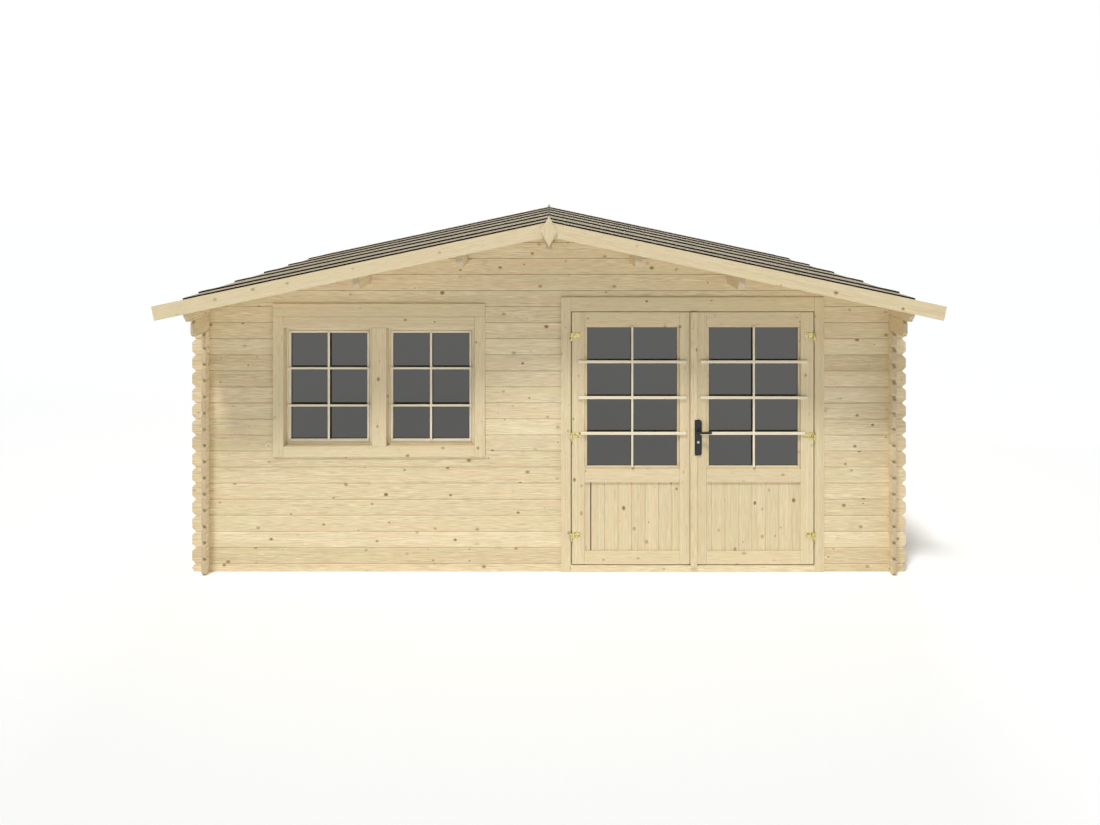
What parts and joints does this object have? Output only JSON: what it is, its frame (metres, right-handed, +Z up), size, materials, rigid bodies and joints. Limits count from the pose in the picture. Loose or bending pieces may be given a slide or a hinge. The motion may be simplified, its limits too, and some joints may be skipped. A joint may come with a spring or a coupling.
{
  "type": "garden house",
  "caption": "Log-built garden house with crossed log corners, felted gable roof on purlins, glazed double door that opens outward with a lever handle, and a wide double casement window.",
  "frame": {"origin": "on the ground, in the middle of the plan's outline", "axes": "+Z up, the front with the door and the window faces -Y, +X to the right seen from the front"},
  "size_m": [5.294, 4.83, 2.5388],
  "materials": {
    "spruce_log": "planed, untreated",
    "spruce_board": "planed, untreated",
    "roof_felt": "mineral bitumen felt",
    "glass": "clear",
    "yellow_zinc": "yellow zinc",
    "black_metal": "satin black",
    "lock_steel": "nickel"
  },
  "bodies": {
    "house": {"floor_joists": "spruce_board", "floor_boards": "spruce_board", "front_sill_logs": "spruce_log", "front_corner_logs": "spruce_log", "front_pier_logs": "spruce_log", "front_right_logs": "spruce_log", "front_gable_logs": "spruce_log", "back_wall_logs": "spruce_log", "back_gable_logs": "spruce_log", "left_wall_logs": "spruce_log", "right_wall_logs": "spruce_log", "left_eave_log": "spruce_log", "right_eave_log": "spruce_log", "ridge_purlin": "spruce_board", "left_purlins": "spruce_board", "right_purlins": "spruce_board", "left_roof_deck": "spruce_board", "right_roof_deck": "spruce_board", "left_roof_felt": "roof_felt", "right_roof_felt": "roof_felt", "front_barge_boards": "spruce_board", "back_barge_boards": "spruce_board", "gable_diamonds": "spruce_board", "door_frame": "spruce_board", "door_casing": "spruce_board", "door_threshold": "spruce_board", "hinge_pins": "yellow_zinc", "window_frame": "spruce_board", "window_casing": "spruce_board", "left_sash": "spruce_board", "right_sash": "spruce_board", "window_glass": "glass"},
    "left_leaf": {"left_leaf_frame": "spruce_board", "left_leaf_panel": "spruce_board", "left_leaf_glass": "glass", "left_leaf_straps": "yellow_zinc"},
    "right_leaf": {"right_leaf_frame": "spruce_board", "right_leaf_panel": "spruce_board", "right_leaf_glass": "glass", "right_leaf_straps": "yellow_zinc", "cover_strip": "spruce_board", "handle_plates": "black_metal", "lock_cylinder": "lock_steel"},
    "lever": {"door_lever": "black_metal"}
  },
  "joints": [
    {"name": "left_leaf_hinge", "type": "hinge", "parent": "house", "child": "left_leaf", "pos_m": [0.1575, -1.916, 0.95], "axis": [0, 0, -1], "range_deg": [0, 110]},
    {"name": "right_leaf_hinge", "type": "hinge", "parent": "house", "child": "right_leaf", "pos_m": [1.8785, -1.916, 0.95], "axis": [0, 0, 1], "range_deg": [0, 110]},
    {"name": "lever_turn", "type": "hinge", "parent": "right_leaf", "child": "lever", "pos_m": [1.0565, -1.907, 0.997], "axis": [0, 1, 0], "range_deg": [0, 40], "stiffness_Nm_per_rad": 0.6, "springref_deg": -28.65}
  ]
}
